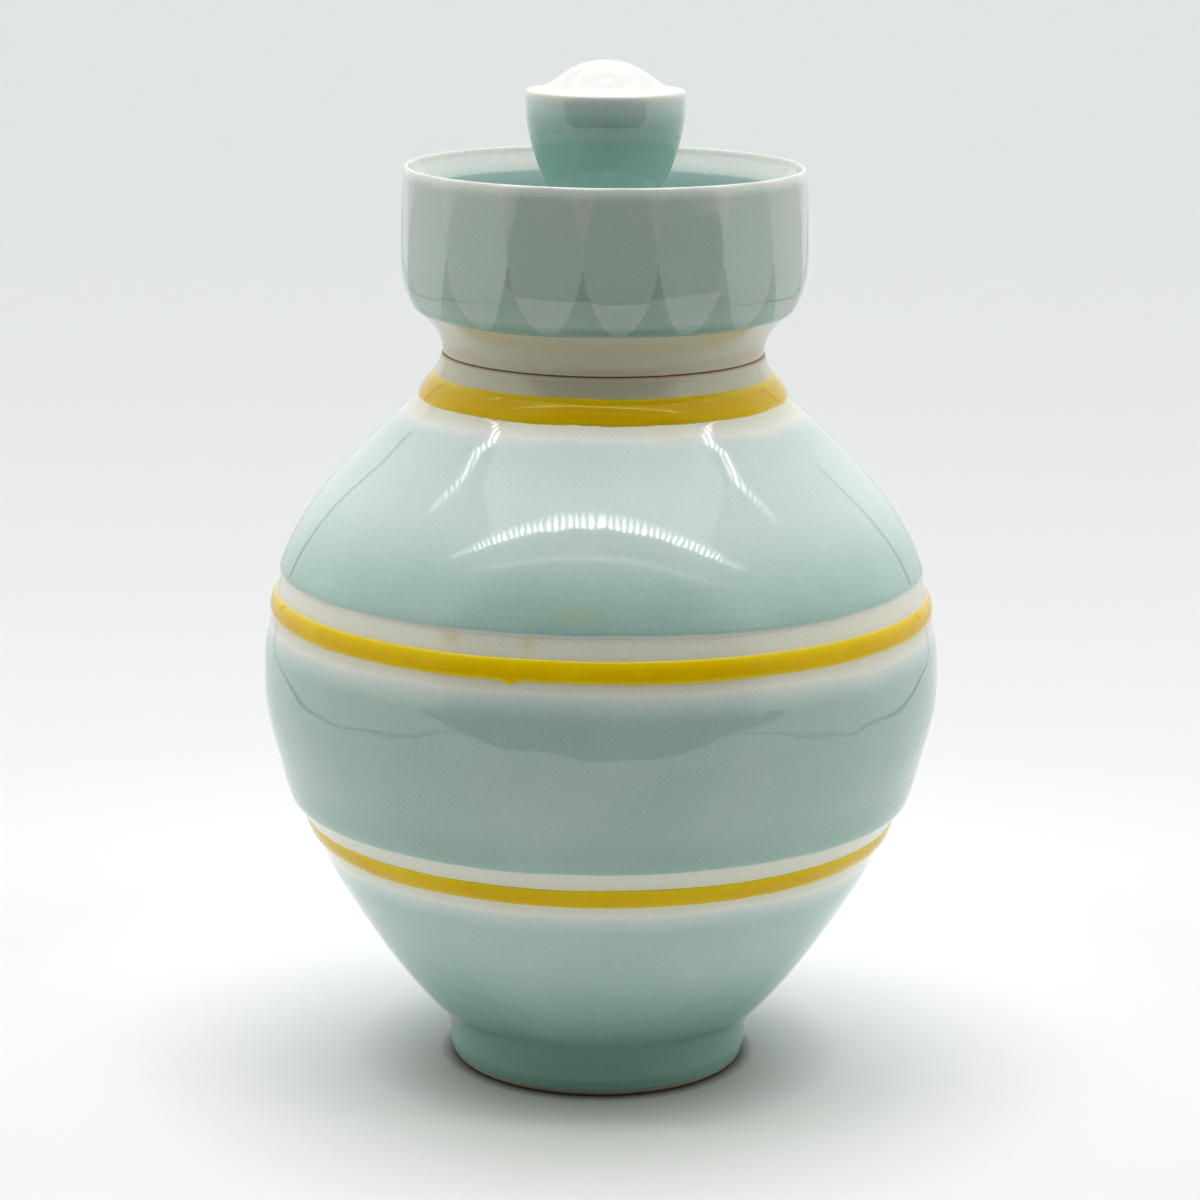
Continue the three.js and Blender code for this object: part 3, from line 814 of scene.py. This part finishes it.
# Where most values of a noise lie
NOISE_SPAN = {"From Min": 0.3, "From Max": 0.7}

# What a Mix node needs to mix colours, or to multiply them
COLOUR_MIX = {"out": 2, "data_type": "RGBA"}
COLOUR_PRODUCT = {**COLOUR_MIX, "blend_type": "MULTIPLY"}

# What is laid over the celadon's own colours, the first a warm grey tint of painted shade
SHADE_TINT = "#dbd8cb"
IRON = "#5d5648"
YELLOW_TRACE = "#c9b75a"
BARE_CLAY = "#c3b39c"


def glazed_porcelain():
    """Wheel-thrown porcelain under poured celadon: glassy, pale where thin and sea green where it pools."""
    material, tree = blank("celadon glazed porcelain")
    place = add(tree, "TexCoord", out="Object")
    thickness = add(tree, "Attribute", attribute_name="celadon", out="Fac")
    biscuit = add(tree, "Attribute", attribute_name="biscuit", out="Fac")
    stain = add(tree, "Attribute", attribute_name="stain", out="Fac")

    # Poured glaze lies a little thicker and thinner in patches a finger or two wide
    cloud = add(tree, "TexNoise", {"Vector": place, "Scale": per(24), "Detail": 3})
    patchy = add(tree, "MapRange", {"Value": cloud, **NOISE_SPAN, "To Min": 0.86, "To Max": 1.14})
    laid = add(tree, "Math", {0: thickness, 1: patchy}, operation="MULTIPLY")
    colour = add(tree, "ValToRGB", {"Fac": laid}, stops=[
        (0, linear("#e0e1d3")),
        (0.05, linear("#e5e7df")),
        (0.12, linear("#d0ddd8")),
        (0.2, linear("#c6d8d4")),
        (0.4, linear("#b1ccc6")),
        (0.6, linear("#9dbfb6")),
        (0.8, linear("#89b3a5")),
        (1, linear("#7ba698")),
    ])

    # Painted shade: the belly, the cup's side, the neck and the knob below its rim are made a little greyer
    # and warmer
    smoked = add(tree, "Attribute", attribute_name="smoked", out="Fac")
    shaded = add(tree, "Mix", {0: smoked, 6: colour, 7: linear(SHADE_TINT)}, **COLOUR_PRODUCT)

    # Grain of the fired glaze, drawn coarser than real, at 0.4 mm, so that it shows
    grain = add(tree, "TexNoise", {"Vector": place, "Scale": per(0.4), "Detail": 2})
    shade = add(tree, "MapRange", {"Value": grain, **NOISE_SPAN, "To Min": 0.94, "To Max": 1.06})
    grained = add(tree, "Mix", {0: 1, 6: shaded, 7: shade}, **COLOUR_PRODUCT)

    # Iron specks from the clay, up to half a millimetre wide and a few millimetres apart. Only the
    # paler cells of the pattern hold one, and the paler the cell, the larger its speck
    away = add(tree, "TexVoronoi", {"Vector": place, "Scale": per(4)}, out="Distance")
    cell = add(tree, "TexVoronoi", {"Vector": place, "Scale": per(4)}, out="Color")
    size = add(tree, "MapRange", {"Value": cell, "From Min": 0.55, "To Max": 0.07})
    speck = add(tree, "Math", {0: away, 1: size}, operation="LESS_THAN")
    faint = add(tree, "Math", {0: speck, 1: 0.4}, operation="MULTIPLY")
    specked = add(tree, "Mix", {0: faint, 6: grained, 7: linear(IRON)}, **COLOUR_MIX)

    # Traces of yellow, and the warm bare clay of the foot, rim and seat
    stained = add(tree, "Mix", {0: stain, 6: specked, 7: linear(YELLOW_TRACE)}, **COLOUR_MIX)
    bare = add(tree, "Mix", {0: biscuit, 6: stained, 7: linear(BARE_CLAY)}, **COLOUR_MIX)
    roughness = add(tree, "MapRange", {"Value": biscuit, "To Min": 0.045, "To Max": 0.6})

    # A slow ripple left by the throwing, and the fine orange peel of a melted glaze
    ripple = add(tree, "TexNoise", {"Vector": place, "Scale": per(7), "Detail": 1})
    peel = add(tree, "TexNoise", {"Vector": place, "Scale": per(1.4), "Detail": 1})
    slow = add(tree, "Bump", {"Height": ripple, "Strength": 1, "Distance": 0.03 * MM})
    fine = add(tree, "Bump", {"Height": peel, "Strength": 1, "Distance": 0.003 * MM, "Normal": slow})
    surface = add(tree, "BsdfPrincipled", {
        "Base Color": bare,
        "Roughness": roughness,
        "IOR": 1.62,
        "Normal": fine,
    })
    add(tree, "OutputMaterial", {"Surface": surface})
    return material


def yellow_glaze():
    """Opaque yellow glaze, trailed thick: glassy, deeper in the middle of the bead than at its edges."""
    material, tree = blank("trailed yellow glaze")
    place = add(tree, "TexCoord", out="Object")
    thickness = add(tree, "Attribute", attribute_name="yellow", out="Fac")
    cloud = add(tree, "TexNoise", {"Vector": place, "Scale": per(9), "Detail": 3})
    patchy = add(tree, "MapRange", {"Value": cloud, **NOISE_SPAN, "To Min": 0.8, "To Max": 1.2})
    laid = add(tree, "Math", {0: thickness, 1: patchy}, operation="MULTIPLY")
    colour = add(tree, "ValToRGB", {"Fac": laid}, stops=[
        (0, linear("#dccd60")),
        (0.06, linear("#e8d01c")),
        (0.3, linear("#e2c000")),
        (0.6, linear("#d8b000")),
    ])
    peel = add(tree, "TexNoise", {"Vector": place, "Scale": per(2.4), "Detail": 1})
    bump = add(tree, "Bump", {"Height": peel, "Strength": 1, "Distance": 0.02 * MM})
    surface = add(tree, "BsdfPrincipled", {
        "Base Color": colour,
        "Roughness": 0.06,
        "IOR": 1.56,
        "Specular IOR Level": 0.22,
        "Specular Tint": linear("#fff0a4"),
        "Normal": bump,
    })
    add(tree, "OutputMaterial", {"Surface": surface})
    return material


# Stage: a white table, a light tent round it and the camera at its mouth. The tent is only light: it
# has no walls of its own, so the jar can be looked at from any side. Its roof and lamps are measured
# in shares of its height over the jar's shoulder. Lengths on the table are in metres.

TABLE_REACH = 6
CARD_FRONT = 0.415
CARD_SIDE = 0.386
MOUTH_SPREAD = 0.567
TENT_TURN = math.radians(1.5)
ROOF_SIDE = 0.6
ROOF_FRONT = -0.34
ROOF_BACK = 0.85
ROOF_LIGHT = 2.15
LAMP_LIGHT = 8
LAMP_SPACING = 0.036
LAMP_SKEW = 0.014
LAMP_FAN = -0.1
LAMP_SHIFT = 0.7
CORNER = 0.795
CORNER_WIDTH = 0.02
CORNER_TOP = 0.6
HORIZON = 0.001

# The camera as fitted to the photograph
CAMERA_ASIDE = -0.00028
CAMERA_BACK = 0.773
CAMERA_HEIGHT = 0.28216
CAMERA_PITCH = math.radians(13.062)
CAMERA_ROLL = math.radians(0.5)
CAMERA_LENS = 108.97


def white_table():
    """Matt card. Past its edges the jar sees the tent's walls over a dark seam, or the dim room."""
    mesh = bpy.data.meshes.new("table")
    r = TABLE_REACH
    mesh.from_pydata([(-r, -r, 0), (r, -r, 0), (r, r, 0), (-r, r, 0)], [], [(0, 1, 2, 3)])
    table = bpy.data.objects.new("table", mesh)
    bpy.context.scene.collection.objects.link(table)
    material, tree = blank("matt white card")
    place = add(tree, "NewGeometry", out="Position")
    across = add(tree, "Math", {0: add(tree, "SeparateXYZ", {0: place}, out="X")}, operation="ABSOLUTE")
    depth = add(tree, "SeparateXYZ", {0: place}, out="Y")
    # Painted light on the card by depth: brightest a little behind the jar, a shade darker in front, darker
    # further back
    share = add(tree, "MapRange", {"Value": depth, "From Min": -0.1, "From Max": 1.9})
    tone = add(tree, "ValToRGB", {"Fac": share}, stops=[
        (0, linear("#e3e3e0")),
        (0.06, linear("#e4e4e1")),
        (0.12, linear("#e6e6e4")),
        (0.3, linear("#dbdbd9")),
        (0.5, linear("#d4d6d3")),
        (1, linear("#d0d3d0")),
    ])

    # Shading painted on the card, by metres from the jar's axis: a dark line under the foot's worn
    # edge, brightest a little further out, then fading
    from_jar = add(tree, "VectorMath", {0: place}, operation="LENGTH", out="Value")
    lift = add(tree, "ValToRGB", {"Fac": from_jar}, stops=[
        (0.0328, grey(0.08)),
        (0.0348, grey(0.73)),
        (0.055, grey(1)),
        (0.11, grey(1)),
        (0.16, grey(0.9)),
        (0.3, grey(0.845)),
    ])
    tone = add(tree, "Mix", {0: 1, 6: tone, 7: lift}, **COLOUR_PRODUCT)
    card = add(tree, "BsdfDiffuse", {"Color": tone})

    # What lights the jar, and shows in its glaze, past the card's edges. The camera sees card there too
    wall = add(tree, "ValToRGB", {"Fac": across}, stops=[
        (CARD_SIDE, grey(0.05)),
        (CARD_SIDE + 0.016, grey(0.1)),
        (CARD_SIDE + 0.02, grey(0.9)),
    ])
    mouth = add(tree, "Math", {0: across, 1: MOUTH_SPREAD}, operation="MULTIPLY")
    mouth = add(tree, "Math", {0: mouth, 1: CARD_FRONT}, operation="MAXIMUM")
    ahead = add(tree, "Math", {0: depth, 1: -1}, operation="MULTIPLY")
    in_front = add(tree, "Math", {0: ahead, 1: mouth}, operation="GREATER_THAN")
    aside = add(tree, "Math", {0: across, 1: CARD_SIDE}, operation="GREATER_THAN")
    past = add(tree, "Math", {0: in_front, 1: aside}, operation="MAXIMUM")
    camera_ray = add(tree, "LightPath", out="Is Camera Ray")
    hidden = add(tree, "Math", {0: past, 1: camera_ray}, operation="GREATER_THAN")
    seen = add(tree, "Mix", {0: in_front, 6: wall, 7: grey(0.015)}, **COLOUR_MIX)
    around = add(tree, "Emission", {"Color": seen})
    add(tree, "OutputMaterial", {"Surface": add(tree, "MixShader", {0: hidden, 1: card, 2: around})})
    mesh.materials.append(material)


def light_tent():
    """White cloth round the jar, two rows of lamps under its roof, and a dim room past its open front."""
    world = bpy.data.worlds.new("light tent")
    bpy.context.scene.world = world
    world.use_nodes = True
    tree = world.node_tree
    tree.nodes.clear()
    way = add(tree, "TexCoord", out="Generated")
    way = add(tree, "VectorRotate", {"Vector": way, "Angle": TENT_TURN}, rotation_type="Z_AXIS")
    across, along, rise = (add(tree, "SeparateXYZ", {0: way}, out=axis) for axis in "XYZ")
    up = add(tree, "Math", {0: rise, 1: HORIZON}, operation="MAXIMUM")
    right = add(tree, "Math", {0: across, 1: up}, operation="DIVIDE")
    across = add(tree, "Math", {0: across}, operation="ABSOLUTE")
    aside = add(tree, "Math", {0: across, 1: up}, operation="DIVIDE")
    back = add(tree, "Math", {0: along, 1: up}, operation="DIVIDE")

    # Cloth walls, brighter towards the lamps, with a dark seam in the two corners behind the jar
    distance = add(tree, "Math", {0: along}, operation="ABSOLUTE")
    distance = add(tree, "Math", {0: across, 1: distance}, operation="MAXIMUM")
    height = add(tree, "Math", {0: rise, 1: distance}, operation="DIVIDE")
    walls = add(tree, "MapRange", {"Value": height, "From Max": 1.5, "To Min": 1, "To Max": 1.3})
    corner = add(tree, "Math", {0: across, 1: along}, operation="DIVIDE")
    seam = add(tree, "Math", {0: corner, 1: CORNER, 2: CORNER_WIDTH}, operation="COMPARE")
    low = add(tree, "Math", {0: height, 1: CORNER_TOP}, operation="LESS_THAN")
    seam = add(tree, "Math", {0: seam, 1: low}, operation="MULTIPLY")
    walls = add(tree, "Mix", {0: seam, 2: walls, 3: 0.1})

    # The open front: a dim room, and a flap of cloth hanging from the roof
    ahead = add(tree, "Math", {0: across, 1: MOUTH_SPREAD, 2: along}, operation="MULTIPLY_ADD")
    span = {"Value": ahead, "From Min": 0.05, "From Max": -0.33}
    mouth = add(tree, "MapRange", span, interpolation_type="SMOOTHSTEP")
    forward = add(tree, "Math", {0: along, 1: -3}, operation="MULTIPLY")
    forward = add(tree, "Math", {0: forward, 1: HORIZON}, operation="MAXIMUM")
    flap_height = add(tree, "Math", {0: rise, 1: forward}, operation="DIVIDE")
    room = add(tree, "ValToRGB", {"Fac": flap_height}, stops=[
        (0, grey(0.02)),
        (0.18, grey(0.05)),
        (0.3, grey(0.08)),
        (0.42, grey(0.1)),
        (0.55, grey(0.28)),
        (1, grey(0.5)),
    ])
    around = add(tree, "Mix", {0: mouth, 2: walls, 3: room})

    # The roof
    between = add(tree, "Math", {0: aside, 1: 0, 2: ROOF_SIDE}, operation="COMPARE")
    middle, reach = (ROOF_BACK + ROOF_FRONT) / 2, (ROOF_BACK - ROOF_FRONT) / 2
    deep = add(tree, "Math", {0: back, 1: middle, 2: reach}, operation="COMPARE")
    roofed = add(tree, "Math", {0: between, 1: deep}, operation="MULTIPLY")
    cloth = add(tree, "Mix", {0: roofed, 2: around, 3: ROOF_LIGHT})

    # Two rows of lamps, the front one with a hard front edge, that show again in the sheen of the side
    # walls, and the front flap's hem. The front row hangs askew. Places are moved to fit the ramp
    askew = add(tree, "Math", {0: back, 1: LAMP_FAN, 2: LAMP_SKEW}, operation="MULTIPLY_ADD")
    fanned = add(tree, "Math", {0: right, 1: askew, 2: back}, operation="MULTIPLY_ADD")
    moved = add(tree, "Math", {0: fanned, 1: LAMP_SHIFT}, operation="ADD")
    lamp_rows = add(tree, "ValToRGB", {"Fac": moved}, stops=[
        (0.1, grey(0)),
        (0.15, grey(0.2)),
        (0.2, grey(0)),
        (0.355, grey(0)),
        (0.365, grey(1)),
        (0.39, grey(0.85)),
        (0.445, grey(0)),
        (0.89, grey(0)),
        (0.925, grey(0.9)),
        (0.945, grey(0.9)),
        (0.98, grey(0)),
    ])
    ends = add(tree, "ValToRGB", {"Fac": aside}, stops=[
        (0.69, grey(1)),
        (0.74, grey(0.45)),
        (0.92, grey(0.35)),
        (1, grey(0)),
    ])
    wave = add(tree, "Math", {0: aside, 1: math.tau / LAMP_SPACING}, operation="MULTIPLY")
    wave = add(tree, "Math", {0: wave}, operation="SINE")
    bulbs = add(tree, "MapRange", {"Value": wave, "From Min": -1, "To Min": 0, "To Max": 1.6})
    lamps = add(tree, "Math", {0: lamp_rows, 1: ends}, operation="MULTIPLY")
    lamps = add(tree, "Math", {0: lamps, 1: bulbs}, operation="MULTIPLY")
    above = add(tree, "Math", {0: rise, 1: 0}, operation="GREATER_THAN")
    lamps = add(tree, "Math", {0: lamps, 1: above}, operation="MULTIPLY")
    strength = add(tree, "Math", {0: lamps, 1: LAMP_LIGHT, 2: cloth}, operation="MULTIPLY_ADD")

    # Light from the room is warm, and light from above a little cool. The camera sees a pale backdrop
    coolness = add(tree, "Math", {0: along, 1: 0.35, 2: rise}, operation="MULTIPLY_ADD")
    tint = add(tree, "ValToRGB", {"Fac": coolness}, stops=[
        (0, (1, 0.96, 0.84, 1)),
        (0.4, (1, 0.99, 0.95, 1)),
        (1, (0.98, 1, 1.05, 1)),
    ])
    light = add(tree, "Background", {"Color": tint, "Strength": strength})
    backdrop = add(tree, "Background", {"Color": linear("#e7e9e6"), "Strength": 1})
    both = add(tree, "MixShader", {0: add(tree, "LightPath", out="Is Camera Ray"), 1: light, 2: backdrop})
    add(tree, "OutputWorld", {"Surface": both})


def photograph_camera():
    """The photograph's own view."""
    camera = bpy.data.objects.new("camera", bpy.data.cameras.new("camera"))
    bpy.context.scene.collection.objects.link(camera)
    camera.data.lens = CAMERA_LENS
    camera.location = (CAMERA_ASIDE, -CAMERA_BACK, CAMERA_HEIGHT)
    camera.rotation_mode = "XYZ"
    camera.rotation_euler = (math.pi / 2 - CAMERA_PITCH, 0, 0)
    camera.rotation_euler.rotate_axis("Z", CAMERA_ROLL)
    bpy.context.scene.camera = camera


photograph_camera()
white_table()
light_tent()
celadon = glazed_porcelain()
make_jar(celadon, yellow_glaze())
make_lid(celadon)

bpy.context.scene.view_settings.view_transform = "Standard"
